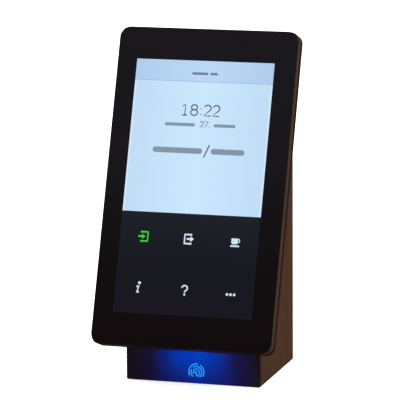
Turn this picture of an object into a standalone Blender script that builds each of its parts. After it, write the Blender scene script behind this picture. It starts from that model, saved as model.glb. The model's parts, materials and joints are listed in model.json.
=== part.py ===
"""Wall and desk terminal with an upright touch display and a lit reader field.

Metres, +Z up. The display faces -Y and leans back. The origin lies on the ground, under the
middle of the object's box. Three axis empties carry the parts:
- upright_axes: X across, Y up, Z forward from the wall plane,
- side_axes: X forward from the wall plane, Y up, Z towards the left side,
- head_axes: X across, Y up along the leaning display head, Z out of its front face.
"""

import math

import bmesh
import bpy
from mathutils import Vector

# ---------------------------------------------------------------- driving dimensions
HEAD_WIDTH = 0.1115
HEAD_LENGTH = 0.1935
HEAD_THICKNESS = 0.0108
HEAD_CORNER = 0.0052
GLASS_CORNER = 0.0068
HEAD_TILT = math.radians(20.0)
HEAD_FORWARD = 0.1034
HEAD_HEIGHT = 0.0280

SCREEN_WIDTH = 0.0859
SCREEN_LENGTH = 0.1542
SCREEN_BOTTOM = 0.0196
SCREEN_SHIFT = -0.0005

BASE_WIDTH = 0.0836
BASE_DEPTH = 0.0763
BASE_BOTTOM = 0.0004
BASE_TOP = 0.1854
WALL = 0.0024
BACK_DEPTH = 0.0144
EDGE = 0.0003
GLASS_EDGE = 0.0002

# clearance between parts, the seam behind the housing, and a cutter length that goes through any wall
GAP = 0.0003
SEAM = 0.0007
THROUGH = 0.0100

# depths behind the head's front face
GLASS = 0.0011
FRAME_FRONT = GLASS + GAP
FRAME_BACK = 0.0065
SHELL_FRONT = FRAME_BACK + GAP
SHELL_LIP = 0.0089
FRAME_WALL = 0.0022
GROOVE_INSET = 0.0012
SLOPE_FRONT = HEAD_THICKNESS + GAP
SLOPE_BACK = SLOPE_FRONT + 0.0022

# depths in front of the wall plane
PLATE_WALL = 0.0024
HOUSING_BACK = BACK_DEPTH + SEAM
COVER_BACK = 0.0152
COVER_THICKNESS = 0.0012
BOARD_BACK = 0.0240
BOARD_THICKNESS = 0.0016
BOARD_FRONT = BOARD_BACK + BOARD_THICKNESS
WINDOW_THICKNESS = 0.0020
FRONT_WALL = BASE_DEPTH - WINDOW_THICKNESS - GAP
FRONT_WALL_BACK = FRONT_WALL - WALL
READER_FRONT = 0.0705
READER_THICKNESS = 0.0012

# reader window and what sits behind it
WINDOW_TOP = 0.0660
WINDOW_CORNER = 0.0008
APERTURE_WIDTH = 0.0666
APERTURE_BOTTOM = 0.0040
APERTURE_TOP = 0.0310

# flat cable between the head and the mainboard
RIBBON_WIDTH = 0.0160
RIBBON_THICKNESS = 0.0002
RIBBON_SLOT = (0.0220, 0.0110)

# rear cover, hooks and their slots
COVER_WIDTH = 0.0774
COVER_BOTTOM = 0.0370
COVER_TOP = 0.1824
HOOK_X = 0.0240
HOOK_WIDTH = 0.0100
HOOK_SHELF_TOP = 0.1600
HOOK_SHELF = 0.0030
HOOK_LIP = 0.0050
HOOK_REACH = 0.0202
HOOK_LIP_BACK = COVER_BACK + COVER_THICKNESS + 0.0006
SLOT_WIDTH = 0.0120
SLOT_HEIGHT = 0.0160

# cable opening, screw holes and seal groove in the wall plate
CABLE_WIDTH = 0.0400
CABLE_BOTTOM = 0.0080
CABLE_TOP = 0.0340
WALL_HOLE = 0.0022
WALL_HOLES = [(side * 0.024, height) for height in (0.052, 0.120) for side in (-1, 1)]
SEAL_INSET = 0.0040
SEAL_WIDTH = 0.0012
SEAL_DEPTH = 0.0005

# slots in the housing: for air in its top and for sound in its floor
AIR_SLOTS = 9
AIR_SLOT_PITCH = 0.0070
AIR_SLOT_WIDTH = 0.0018
AIR_SLOT_MARGIN = 0.0045
SOUND_SLOTS = 5
SOUND_SLOT_PITCH = 0.0042
SOUND_SLOT_WIDTH = 0.0014
SOUND_SLOT_LENGTH = 0.0160

# screws
SHANK = 0.0012
SHANK_HOLE = 0.0015
CLEAR_HOLE = 0.0017
SCREW_HEAD = 0.0027
SCREW_HEAD_HEIGHT = 0.0018
BOSS = 0.0035
HEAD_SCREWS = [(side * 0.030, along) for along in (0.075, 0.155) for side in (-1, 1)]
COVER_BOSS = 0.0042
COVER_SCREWS = [(side * 0.0355, height) for height in (0.043, 0.171) for side in (-1, 1)]
BOARD_SCREWS = [(side * 0.0275, height) for height in (0.0430, 0.1290) for side in (-1, 1)]
READER_SCREWS = [(side * 0.0355, 0.0165) for side in (-1, 1)]

# lock screw through the left side wall into the wall plate's notched ear
LOCK_FORWARD = 0.0200
LOCK_HEIGHT = 0.0185
LOCK_SHANK = 0.0015
LOCK_HEAD = 0.0029
EAR_INNER = 0.0359
EAR_THICKNESS = 0.0020
EAR_BOTTOM = 0.0114
EAR_TOP = 0.0236
EAR_REACH = 0.0260

# tamper switch
TAMPER_X = 0.0100
TAMPER_HEIGHT = 0.1440
POST_REACH = 0.0120
PLUNGER = 0.0012

# sockets and reset key on the lower edge of the mainboard
JACK_X = 0.0150
JACK_SIZE = (0.0160, 0.0210, 0.0135)
JACK_MOUTH = (0.0120, 0.0085)
BOARD_BOTTOM = 0.0360
BOARD_TOP = 0.1340
BOARD_WIDTH = 0.0620
RESET_X = -0.0195

# components: across, up and forward
TRANSFORMER_SIZE = (0.0150, 0.0130, 0.0100)
TRANSFORMER_PLACE = (0.0190, 0.0690)
PROCESSOR_SIZE = (0.0150, 0.0150, 0.0014)
PROCESSOR_HEIGHT = 0.0940
SINK_SIZE = (0.0280, 0.0280, 0.0095)
SINK_BASE = 0.0020
SINK_FINS = 7
CELL_PLACE = (-0.0180, 0.0660)
CELL = 0.0100
CELL_HOLDER = (0.0240, 0.0220, 0.0030)
TERMINAL_SIZE = (0.0180, 0.0120, 0.0090)
TERMINAL_X = -0.0060
TERMINAL_PITCH = 0.0042
SENSOR_SIZE = (0.0140, 0.0140, 0.0050)
LENS = 0.0040
READER_BOARD = (0.0765, 0.0240)
GUIDE_TOP = 0.0272
GUIDE_FORWARD = 0.0721
LED_PITCH = 0.0180

# feet
FOOT = 0.0050
REAR_FOOT = 0.0040
FOOT_HEIGHT = 0.0011
FOOT_RECESS = 0.0010

# places across and forward of the wall plane
FRONT_FEET = [("left", -0.033, 0.066), ("right", 0.033, 0.066)]
REAR_FEET = [("left", -0.031, 0.0072), ("right", 0.031, 0.0072)]
SPEAKER_PLACE = (0.020, 0.044)

# ---------------------------------------------------------------- clean file and collections
for old in list(bpy.data.objects):
    bpy.data.objects.remove(old, do_unlink=True)

PARTS = bpy.data.collections.new("access_terminal")
CUTTERS = bpy.data.collections.new("cutters")
for group in (PARTS, CUTTERS):
    bpy.context.scene.collection.children.link(group)


def axes(name, location, rotation):
    """An empty that gives a group of parts its own axes."""
    empty = bpy.data.objects.new(name, None)
    empty.location = location
    empty.rotation_euler = rotation
    empty.empty_display_size = 0.02
    PARTS.objects.link(empty)
    return empty


WALL_PLANE = HEAD_FORWARD / 2
RIGHT_ANGLE = math.radians(90.0)
UPRIGHT = axes("upright_axes", (0, WALL_PLANE, 0), (RIGHT_ANGLE, 0, 0))
SIDE = axes("side_axes", (0, WALL_PLANE, 0), (RIGHT_ANGLE, 0, -RIGHT_ANGLE))
HEAD = axes("head_axes", (0, WALL_PLANE - HEAD_FORWARD, HEAD_HEIGHT), (RIGHT_ANGLE - HEAD_TILT, 0, 0))


# ---------------------------------------------------------------- materials
def material(name, colour, roughness, metallic=0.0, glow=None):
    """A Principled material, with its own light if glow gives a colour."""
    made = bpy.data.materials.new(name)
    made.use_nodes = True
    surface = made.node_tree.nodes["Principled BSDF"]
    surface.inputs["Base Color"].default_value = (*colour, 1.0)
    surface.inputs["Roughness"].default_value = roughness
    surface.inputs["Metallic"].default_value = metallic
    if glow:
        surface.inputs["Emission Color"].default_value = (*glow, 1.0)
        surface.inputs["Emission Strength"].default_value = 1.0
    made.diffuse_color = (*colour, 1.0)
    return made


BLACK_GLASS = material("black_glass", (0.008, 0.006, 0.007), 0.08)
BODY_BROWN = material("body_brown", (0.050, 0.034, 0.023), 0.42)
SHELL_DARK = material("shell_dark", (0.018, 0.010, 0.007), 0.50)
SMOKED_WINDOW = material("smoked_window", (0.008, 0.008, 0.020), 0.15)
CLEAR_GUIDE = material("clear_guide", (0.55, 0.65, 0.85), 0.20)
BLUE_LIGHT = material("blue_light", (0.02, 0.12, 0.80), 0.30, glow=(0.01, 0.10, 0.90))
LCD_GREY = material("lcd_grey", (0.10, 0.12, 0.15), 0.25)
CIRCUIT = material("circuit_board", (0.02, 0.10, 0.04), 0.45)
CHIP = material("chip_black", (0.02, 0.02, 0.02), 0.50)
STEEL = material("steel", (0.55, 0.55, 0.56), 0.35, metallic=1.0)
BRASS = material("brass", (0.60, 0.42, 0.16), 0.30, metallic=1.0)
COPPER = material("copper", (0.60, 0.28, 0.14), 0.35, metallic=1.0)
ALUMINIUM = material("aluminium", (0.60, 0.61, 0.62), 0.38, metallic=1.0)
RUBBER = material("rubber", (0.015, 0.015, 0.015), 0.85)
RIBBON = material("ribbon_film", (0.45, 0.25, 0.06), 0.40)
GREEN_PLASTIC = material("green_plastic", (0.03, 0.22, 0.06), 0.45)
RED_PLASTIC = material("red_plastic", (0.45, 0.03, 0.02), 0.45)


# ---------------------------------------------------------------- outlines
def rounded_rectangle(width, height, radius, centre=(0.0, 0.0), steps=6):
    """Points of a rectangle with round corners, counter-clockwise."""
    points = []
    for corner in range(4):
        start = corner * RIGHT_ANGLE
        across = 1 if corner in (0, 3) else -1
        up = 1 if corner in (0, 1) else -1
        middle_x = centre[0] + across * (width / 2 - radius)
        middle_y = centre[1] + up * (height / 2 - radius)
        for step in range(steps + 1):
            angle = start + RIGHT_ANGLE * step / steps
            points.append((middle_x + radius * math.cos(angle), middle_y + radius * math.sin(angle)))
    return points


def rectangle(width, height, centre=(0.0, 0.0)):
    """Corners of a plain rectangle, counter-clockwise."""
    left, right = centre[0] - width / 2, centre[0] + width / 2
    low, high = centre[1] - height / 2, centre[1] + height / 2
    return [(left, low), (right, low), (right, high), (left, high)]


def polygon(radius, sides, centre=(0.0, 0.0)):
    """Points of a regular polygon or, with many sides, a circle."""
    turns = (2 * math.pi * index / sides for index in range(sides))
    return [(centre[0] + radius * math.cos(turn), centre[1] + radius * math.sin(turn)) for turn in turns]


def head_outline(inset, corner=HEAD_CORNER):
    """The head's rounded outline, drawn in by inset."""
    return rounded_rectangle(HEAD_WIDTH - 2 * inset, HEAD_LENGTH - 2 * inset, corner - inset,
                             centre=(0.0, HEAD_LENGTH / 2), steps=8)


def beside_head(along, depth):
    """Forward distance and height of a point, from its place along the head and its depth in it."""
    forward = HEAD_FORWARD - along * math.sin(HEAD_TILT) - depth * math.cos(HEAD_TILT)
    height = HEAD_HEIGHT + along * math.cos(HEAD_TILT) - depth * math.sin(HEAD_TILT)
    return forward, height


# ---------------------------------------------------------------- building blocks
def add_object(name, mesh, frame, place, turn, surface):
    """Puts a mesh in the scene, as a part if it has a surface material or else as a cutter."""
    made = bpy.data.objects.new(name, mesh)
    made.parent = frame
    made.location = place
    made.rotation_euler = turn
    if surface:
        mesh.materials.append(surface)
        PARTS.objects.link(made)
    else:
        made.hide_render = True
        made.display_type = "WIRE"
        CUTTERS.objects.link(made)
    return made


def mesh_from(shape, name):
    """Welds a bmesh, points its faces outward and turns it into a mesh."""
    bmesh.ops.remove_doubles(shape, verts=shape.verts, dist=0.000001)
    bmesh.ops.recalc_face_normals(shape, faces=shape.faces)
    mesh = bpy.data.meshes.new(name)
    shape.to_mesh(mesh)
    shape.free()
    return mesh


def plate(name, outlines, thickness, frame, place, surface=None):
    """A flat piece on its frame's XY plane, with its middle at place. Later outlines are holes."""
    curve = bpy.data.curves.new(name, "CURVE")
    curve.dimensions = "2D"
    curve.fill_mode = "BOTH"
    curve.extrude = thickness / 2
    for outline in outlines:
        spline = curve.splines.new("POLY")
        spline.points.add(len(outline) - 1)
        for point, (x, y) in zip(spline.points, outline):
            point.co = (x, y, 0.0, 1.0)
        spline.use_cyclic_u = True
    drawing = bpy.data.objects.new(name, curve)
    CUTTERS.objects.link(drawing)
    filled = bpy.data.meshes.new_from_object(drawing.evaluated_get(bpy.context.evaluated_depsgraph_get()))
    shape = bmesh.new()
    shape.from_mesh(filled)
    bpy.data.objects.remove(drawing)
    bpy.data.curves.remove(curve)
    bpy.data.meshes.remove(filled)
    return add_object(name, mesh_from(shape, name), frame, place, (0, 0, 0), surface)


def box(name, size, frame, place, surface=None):
    """A block with its middle at place."""
    shape = bmesh.new()
    bmesh.ops.create_cube(shape, size=1.0)
    bmesh.ops.scale(shape, vec=Vector(size), verts=shape.verts)
    return add_object(name, mesh_from(shape, name), frame, place, (0, 0, 0), surface)


def rod(name, radius, length, frame, place, surface=None, sides=20, turn=(0, 0, 0)):
    """A cylinder along its frame's Z, or turned from there, with its middle at place."""
    shape = bmesh.new()
    bmesh.ops.create_cone(shape, cap_ends=True, segments=sides, radius1=radius, radius2=radius, depth=length)
    return add_object(name, mesh_from(shape, name), frame, place, turn, surface)


def turned(name, profile, frame, place, surface, sides=20, turn=(0, 0, 0)):
    """A piece turned about its own Z from a profile of (radius, height), top to bottom."""
    mesh = bpy.data.meshes.new(name)
    edges = [(index, index + 1) for index in range(len(profile) - 1)]
    mesh.from_pydata([(radius, 0.0, height) for radius, height in profile], edges, [])
    made = add_object(name, mesh, frame, place, turn, surface)
    spin = made.modifiers.new("spin", "SCREW")
    spin.steps = sides
    spin.render_steps = sides
    spin.use_merge_vertices = True
    spin.merge_threshold = 0.000002
    spin.use_smooth_shade = False
    return made


def combine(part, tools, operation):
    """Cuts tools from a part or joins them to it, one Boolean each."""
    for tool in tools:
        change = part.modifiers.new(tool.name, "BOOLEAN")
        change.operation = operation
        change.solver = "EXACT"
        change.object = tool
    return part


def cut(part, *tools):
    """Takes each tool's shape out of the part."""
    return combine(part, tools, "DIFFERENCE")


def join(part, *tools):
    """Adds each tool's shape to the part."""
    return combine(part, tools, "UNION")


def round_edges(part, width, segments=2, angle=50.0):
    """Rounds the part's sharp edges."""
    bevel = part.modifiers.new("round_edges", "BEVEL")
    bevel.width = width
    bevel.segments = segments
    bevel.limit_method = "ANGLE"
    bevel.angle_limit = math.radians(angle)
    return part


def shade_round(part, angle=35.0):
    """Shades round sides smooth and keeps real edges sharp."""
    part.data.shade_smooth()
    part.data.set_sharp_from_angle(angle=math.radians(angle))
    return part


def between(low, high):
    """Middle and length of a stretch."""
    return (low + high) / 2, high - low


def screw(name, frame, place, length, surface=STEEL, turn=(0, 0, 0), head=SCREW_HEAD, shank=SHANK):
    """A pan-head screw whose head's underside is at place and whose shank runs down its own Z."""
    profile = [
        (0.0, SCREW_HEAD_HEIGHT),
        (0.65 * head, SCREW_HEAD_HEIGHT),
        (head, 0.55 * SCREW_HEAD_HEIGHT),
        (head, 0.0),
        (shank, 0.0),
        (shank, 0.6 * shank - length),
        (0.4 * shank, -length),
        (0.0, -length),
    ]
    return turned(name, profile, frame, place, surface, sides=12, turn=turn)


# ---------------------------------------------------------------- display head
def head_layer(name, outlines, front, thickness, surface=None):
    """A flat piece in the head, its front at a depth behind the head's front face."""
    return plate(name, outlines, thickness, HEAD, (0, 0, -front - thickness / 2), surface)


def make_head_frame():
    """The band round the head, with a ledge inside that carries the glass."""
    band = head_layer("head_frame", [head_outline(0.0), head_outline(FRAME_WALL)], FRAME_FRONT,
                      FRAME_BACK - FRAME_FRONT, BODY_BROWN)
    round_edges(band, EDGE)
    ledge = head_layer("frame_ledge", [head_outline(FRAME_WALL / 2), head_outline(0.0046)], 0.0025, 0.0012)
    return shade_round(join(band, ledge))


def make_head_rear_shell():
    """The head's back: a drawn-in rim that leaves a shadow groove, and a full-width back wall."""
    back_middle, back_thickness = between(SHELL_LIP, HEAD_THICKNESS)
    shell = plate("head_rear_shell", [head_outline(0.0)], back_thickness, HEAD, (0, 0, -back_middle),
                  SHELL_DARK)
    round_edges(shell, EDGE)
    rim_depth = SHELL_LIP + back_thickness / 2 - SHELL_FRONT
    rim = head_layer("shell_rim", [head_outline(GROOVE_INSET), head_outline(0.0030)], SHELL_FRONT, rim_depth)
    join(shell, rim)
    boss_front = 0.0077
    for index, (x, along) in enumerate(HEAD_SCREWS, 1):
        boss_length = SHELL_LIP + back_thickness / 2 - boss_front
        boss = rod(f"shell_boss_{index}", BOSS, boss_length, HEAD, (x, along, -boss_front - boss_length / 2))
        hole = rod(f"shell_hole_{index}", SHANK_HOLE, THROUGH, HEAD, (x, along, -HEAD_THICKNESS), sides=14)
        cut(join(shell, boss), hole)
    return shade_round(cut(shell, ribbon_slot("shell_cable_slot", 0.0945, HEAD_THICKNESS)))


def ribbon_slot(name, along, depth):
    """Cutter for the flat cable's slot, at a place along the head and a depth in it."""
    outline = rounded_rectangle(*RIBBON_SLOT, 0.002, centre=(0, along))
    return plate(name, [outline], THROUGH, HEAD, (0, 0, -depth))


def make_display_stack():
    """Touch sensor, panel and backlight, centred on the lit area, and the board behind them."""
    centre = (SCREEN_SHIFT, SCREEN_BOTTOM + SCREEN_LENGTH / 2)
    layers = [
        ("touch_sensor", 0.0140, 0.0100, FRAME_FRONT, 0.0007, CLEAR_GUIDE),
        ("lcd_panel", 0.0130, 0.0090, 0.0024, 0.0014, LCD_GREY),
        ("backlight_unit", 0.0130, 0.0090, 0.0041, 0.0018, ALUMINIUM),
    ]
    for name, wider, longer, front, thickness, surface in layers:
        outline = rounded_rectangle(SCREEN_WIDTH + wider, SCREEN_LENGTH + longer, 0.001,
                                    centre=centre, steps=2)
        head_layer(name, [outline], front, thickness, surface)
    head_layer("display_board", [rounded_rectangle(0.046, 0.054, 0.002, centre=(0, 0.120), steps=3)],
               0.0062, 0.0010, CIRCUIT)


def make_display_cable():
    """Flat cable from the display board, through the back wall, to the mainboard."""
    start = beside_head(0.104, 0.0081)
    turn_in = beside_head(0.0960, 0.0084)
    through = beside_head(0.0930, 0.0120)
    inside = beside_head(0.0915, 0.0170)
    route = [start, turn_in, through, inside,
             (0.0440, 0.1105), (0.0350, 0.1140), (BOARD_FRONT + 0.0040, 0.1190)]
    curve = bpy.data.curves.new("display_cable", "CURVE")
    curve.dimensions = "2D"
    curve.fill_mode = "NONE"
    curve.extrude = RIBBON_WIDTH / 2
    curve.resolution_u = 4
    spline = curve.splines.new("BEZIER")
    spline.bezier_points.add(len(route) - 1)
    for point, (forward, height) in zip(spline.bezier_points, route):
        point.co = (forward, height, 0.0)
        point.handle_left_type = "AUTO"
        point.handle_right_type = "AUTO"
    drawing = bpy.data.objects.new("display_cable", curve)
    CUTTERS.objects.link(drawing)
    ribbon = bpy.data.meshes.new_from_object(drawing.evaluated_get(bpy.context.evaluated_depsgraph_get()))
    bpy.data.objects.remove(drawing)
    bpy.data.curves.remove(curve)
    cable = add_object("display_cable", ribbon, SIDE, (0, 0, 0), (0, 0, 0), RIBBON)
    thicken = cable.modifiers.new("thickness", "SOLIDIFY")
    thicken.thickness = RIBBON_THICKNESS
    thicken.offset = 0.0
    return cable


def make_head():
    """Everything in the leaning display head."""
    glass = head_layer("cover_glass", [head_outline(0.0, GLASS_CORNER)], 0.0, GLASS, BLACK_GLASS)
    shade_round(round_edges(glass, GLASS_EDGE))
    head_layer("glass_gasket", [head_outline(0.0025), head_outline(0.0043)], FRAME_FRONT, 0.0008, RUBBER)
    make_head_frame()
    make_display_stack()
    make_head_rear_shell()
    make_display_cable()
    for index, (x, along) in enumerate(HEAD_SCREWS, 1):
        seat = SLOPE_BACK + GAP
        screw(f"head_screw_{index}", HEAD, (x, along, -seat), seat - 0.0082, turn=(math.pi, 0, 0))


# ---------------------------------------------------------------- base housing
def slope_corner(height, depth):
    """Forward distance of the sloping wall at a height, at a depth behind the head's front face."""
    along = (height - HEAD_HEIGHT + depth * math.sin(HEAD_TILT)) / math.cos(HEAD_TILT)
    return beside_head(along, depth)[0]


def slope_height(forward, depth):
    """Height where the sloping wall meets an upright plane that far in front of the wall plane."""
    along = (HEAD_FORWARD - forward - depth * math.cos(HEAD_TILT)) / math.sin(HEAD_TILT)
    return beside_head(along, depth)[1]


def housing_profile(back, front, bottom, top, depth):
    """Side outline of the wedge, from the wall plane forward, with its slope at a head depth."""
    return [
        (back, bottom),
        (front, bottom),
        (front, slope_height(front, depth)),
        (slope_corner(top, depth), top),
        (back, top),
    ]


def make_main_housing():
    """The wedge-shaped shell that carries the head, open at the back."""
    outer = housing_profile(HOUSING_BACK, BASE_DEPTH, BASE_BOTTOM, BASE_TOP, SLOPE_FRONT)
    inner = housing_profile(HOUSING_BACK - THROUGH, FRONT_WALL_BACK,
                            BASE_BOTTOM + WALL, BASE_TOP - WALL, SLOPE_BACK)
    housing = plate("main_housing", [outer], BASE_WIDTH, SIDE, (0, 0, 0), BODY_BROWN)
    round_edges(housing, EDGE, angle=15.0)
    hollow = plate("housing_hollow", [inner], BASE_WIDTH - 2 * WALL, SIDE, (0, 0, 0))
    pocket_middle, pocket_height = between(BASE_BOTTOM - WALL, WINDOW_TOP + GAP)
    pocket = box("window_pocket", (BASE_WIDTH + WALL, pocket_height, THROUGH), UPRIGHT,
                 (0, pocket_middle, FRONT_WALL + THROUGH / 2))
    middle, height = between(APERTURE_BOTTOM, APERTURE_TOP)
    aperture = box("light_aperture", (APERTURE_WIDTH, height, THROUGH), UPRIGHT, (0, middle, FRONT_WALL))
    cut(housing, hollow, pocket, aperture)

    boss_middle, boss_length = between(COVER_BACK + COVER_THICKNESS + GAP, 0.0287)
    hole_middle = boss_middle - 0.002
    for index, (x, height) in enumerate(COVER_SCREWS, 1):
        boss = rod(f"cover_boss_{index}", COVER_BOSS, boss_length, UPRIGHT, (x, height, boss_middle))
        hole = rod(f"cover_hole_{index}", SHANK_HOLE, boss_length, UPRIGHT, (x, height, hole_middle),
                   sides=14)
        cut(join(housing, boss), hole)
    for index, (x, height) in enumerate(READER_SCREWS, 1):
        boss = rod(f"reader_boss_{index}", 0.0024, 0.0015, UPRIGHT, (x, height, FRONT_WALL_BACK))
        hole = rod(f"reader_hole_{index}", SHANK_HOLE, THROUGH, UPRIGHT, (x, height, FRONT_WALL_BACK),
                   sides=14)
        cut(join(housing, boss), hole)
    for index, (x, along) in enumerate(HEAD_SCREWS, 1):
        hole = rod(f"slope_hole_{index}", CLEAR_HOLE, THROUGH, HEAD, (x, along, -SLOPE_BACK), sides=14)
        cut(housing, hole)
    cut(housing, ribbon_slot("slope_cable_slot", 0.0925, SLOPE_BACK))

    side = (0, RIGHT_ANGLE, 0)
    outside = -BASE_WIDTH / 2
    lock = (LOCK_HEIGHT, LOCK_FORWARD)
    lock_boss = rod("lock_boss", 0.0045, 0.0020, UPRIGHT, (outside + WALL, *lock), turn=side)
    lock_hole = rod("lock_hole", LOCK_SHANK + GAP, THROUGH, UPRIGHT, (outside, *lock), turn=side)
    lock_sink = rod("lock_sink", 0.0033, 0.0032, UPRIGHT, (outside, *lock), turn=side)
    cut(join(housing, lock_boss), lock_hole, lock_sink)

    air_middle, air_length = between(HOUSING_BACK + AIR_SLOT_MARGIN,
                                     slope_corner(BASE_TOP, SLOPE_FRONT) - AIR_SLOT_MARGIN)
    cut_slots(housing, "air_slot", AIR_SLOTS, AIR_SLOT_PITCH, (AIR_SLOT_WIDTH, air_length),
              (0, air_middle), BASE_TOP)
    cut_slots(housing, "sound_slot", SOUND_SLOTS, SOUND_SLOT_PITCH, (SOUND_SLOT_WIDTH, SOUND_SLOT_LENGTH),
              SPEAKER_PLACE, BASE_BOTTOM)
    for name, x, forward in FRONT_FEET:
        cut(housing, foot_recess(name, FOOT, x, forward))
    return shade_round(housing)


def cut_slots(part, name, count, pitch, size, place, height):
    """Cuts a row of round-ended slots through a level wall. Place is across and forward."""
    outline = rounded_rectangle(*size, 0.45 * size[0], steps=3)
    for index in range(count):
        across = place[0] + (index - (count - 1) / 2) * pitch
        middle = (across, WALL_PLANE - place[1], height)
        cut(part, plate(f"{name}_{index + 1}", [outline], THROUGH, None, middle))


def foot_recess(name, radius, x, forward):
    """Shallow round hole in the underside for a foot."""
    height = 2 * (BASE_BOTTOM + FOOT_RECESS)
    return rod(f"foot_recess_{name}_{radius:.4f}", radius + GAP, height, None, (x, WALL_PLANE - forward, 0))


def make_foot(name, radius, x, forward):
    """A rubber foot with a softened rim, standing a little proud of the underside."""
    soft = 0.0003
    profile = [(0, FOOT_HEIGHT), (radius, FOOT_HEIGHT), (radius, soft), (radius - soft, 0), (0, 0)]
    turned(name, profile, None, (x, WALL_PLANE - forward, 0), RUBBER)


def make_reader():
    """Smoked window with the light guide, lamps, boards and sensor behind it."""
    middle, height = between(BASE_BOTTOM, WINDOW_TOP)
    outline = rounded_rectangle(BASE_WIDTH, height, WINDOW_CORNER, centre=(0, middle))
    window = plate("reader_window", [outline], WINDOW_THICKNESS, UPRIGHT,
                   (0, 0, BASE_DEPTH - WINDOW_THICKNESS / 2), SMOKED_WINDOW)
    shade_round(round_edges(window, GLASS_EDGE))
    guide_middle, guide_height = between(APERTURE_BOTTOM + GAP, GUIDE_TOP)
    box("light_guide", (APERTURE_WIDTH - 2 * GAP, guide_height, 0.0024), UPRIGHT,
        (0, guide_middle, GUIDE_FORWARD), CLEAR_GUIDE)
    box("symbol_film", (0.060, 0.020, 0.0002), UPRIGHT, (0, guide_middle, 0.0738), BLUE_LIGHT)
    for index in range(3):
        lamp = box(f"blue_led_{index + 1}", (0.0034, 0.0010, 0.0018), UPRIGHT,
                   ((index - 1) * LED_PITCH, GUIDE_TOP + 0.0008, GUIDE_FORWARD), BLUE_LIGHT)
        round_edges(lamp, 0.0001, segments=1)
    box("led_strip", (0.060, 0.0010, 0.0024), UPRIGHT, (0, GUIDE_TOP + 0.0021, GUIDE_FORWARD), CIRCUIT)

    lens_hole = polygon(LENS + 0.0008, 20, centre=(0, guide_middle))
    screw_holes = [polygon(CLEAR_HOLE, 14, centre=place) for place in READER_SCREWS]
    outline = rounded_rectangle(*READER_BOARD, 0.0015, centre=(0, guide_middle), steps=3)
    plate("reader_board", [outline, lens_hole, *screw_holes], READER_THICKNESS, UPRIGHT,
          (0, 0, READER_FRONT - READER_THICKNESS / 2), CIRCUIT)
    board_back = READER_FRONT - READER_THICKNESS
    plate("antenna_coil", [rounded_rectangle(0.0600, 0.0210, 0.0030, centre=(0, guide_middle), steps=4),
                           rounded_rectangle(0.0560, 0.0170, 0.0020, centre=(0, guide_middle), steps=4)],
          0.0003, UPRIGHT, (0, 0, board_back - GAP - 0.00015), COPPER)
    sensor = box("optical_sensor", SENSOR_SIZE, UPRIGHT,
                 (0, guide_middle, board_back - GAP - SENSOR_SIZE[2] / 2), CHIP)
    lens = rod("sensor_lens", LENS, 0.0040, UPRIGHT, (0, guide_middle, board_back - 0.0006))
    join(sensor, lens)
    for index, (x, height) in enumerate(READER_SCREWS, 1):
        screw(f"reader_screw_{index}", UPRIGHT, (x, height, board_back - GAP), 0.0040, turn=(math.pi, 0, 0),
              head=0.0024)


# ---------------------------------------------------------------- electronics on the rear cover
def make_rear_cover():
    """Sheet steel back of the terminal: hook slots, a tamper hole and screw holes."""
    middle, height = between(COVER_BOTTOM, COVER_TOP)
    slot_middle = HOOK_SHELF_TOP + GAP - SLOT_HEIGHT / 2
    holes = [rounded_rectangle(SLOT_WIDTH, SLOT_HEIGHT, 0.001, centre=(side * HOOK_X, slot_middle), steps=2)
             for side in (-1, 1)]
    holes.append(polygon(PLUNGER + 0.0006, 16, centre=(TAMPER_X, TAMPER_HEIGHT)))
    holes += [polygon(CLEAR_HOLE, 14, centre=place) for place in COVER_SCREWS]
    outline = rounded_rectangle(COVER_WIDTH, height, 0.002, centre=(0, middle), steps=3)
    plate("rear_cover", [outline, *holes], COVER_THICKNESS, UPRIGHT,
          (0, 0, COVER_BACK + COVER_THICKNESS / 2), STEEL)
    for index, (x, along) in enumerate(COVER_SCREWS, 1):
        screw(f"cover_screw_{index}", UPRIGHT, (x, along, COVER_BACK - GAP), 0.0085, turn=(math.pi, 0, 0))


def make_mainboard():
    """Mainboard on its standoffs, with the larger components."""
    middle, height = between(BOARD_BOTTOM, BOARD_TOP)
    outline = rounded_rectangle(BOARD_WIDTH, height, 0.002, centre=(0, middle), steps=3)
    holes = [polygon(CLEAR_HOLE, 14, centre=place) for place in BOARD_SCREWS]
    plate("mainboard", [outline, *holes], BOARD_THICKNESS, UPRIGHT,
          (0, 0, BOARD_BACK + BOARD_THICKNESS / 2), CIRCUIT)
    start = COVER_BACK + COVER_THICKNESS + GAP
    length = BOARD_BACK - GAP - start
    for index, (x, along) in enumerate(BOARD_SCREWS, 1):
        plate(f"standoff_{index}", [polygon(0.0029, 6, centre=(x, along)),
                                    polygon(SHANK_HOLE, 14, centre=(x, along))],
              length, UPRIGHT, (0, 0, start + length / 2), BRASS)
        screw(f"board_screw_{index}", UPRIGHT, (x, along, BOARD_FRONT + GAP), 0.0065)

    seat = BOARD_FRONT + GAP
    box("processor", PROCESSOR_SIZE, UPRIGHT, (0, PROCESSOR_HEIGHT, seat + PROCESSOR_SIZE[2] / 2), CHIP)
    make_heat_sink(PROCESSOR_HEIGHT, seat + PROCESSOR_SIZE[2] + GAP)
    box("power_transformer", TRANSFORMER_SIZE, UPRIGHT,
        (*TRANSFORMER_PLACE, seat + TRANSFORMER_SIZE[2] / 2), CHIP)
    make_coin_cell()
    make_network_jack()
    make_terminal_block()


def make_heat_sink(middle, back):
    """Finned block: a comb outline drawn across the board and extruded up it."""
    width, length, height = SINK_SIZE
    pitch = width / (2 * SINK_FINS - 1)
    comb = [(-width / 2, 0.0), (-width / 2, height)]
    for gap in range(SINK_FINS - 1):
        left = -width / 2 + (2 * gap + 1) * pitch
        comb += [(left, height), (left, SINK_BASE), (left + pitch, SINK_BASE), (left + pitch, height)]
    comb += [(width / 2, height), (width / 2, 0.0)]
    sink = plate("heat_sink", [comb], length, UPRIGHT, (0, middle, back), ALUMINIUM)
    sink.rotation_euler = (RIGHT_ANGLE, 0, 0)
    return sink


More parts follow.
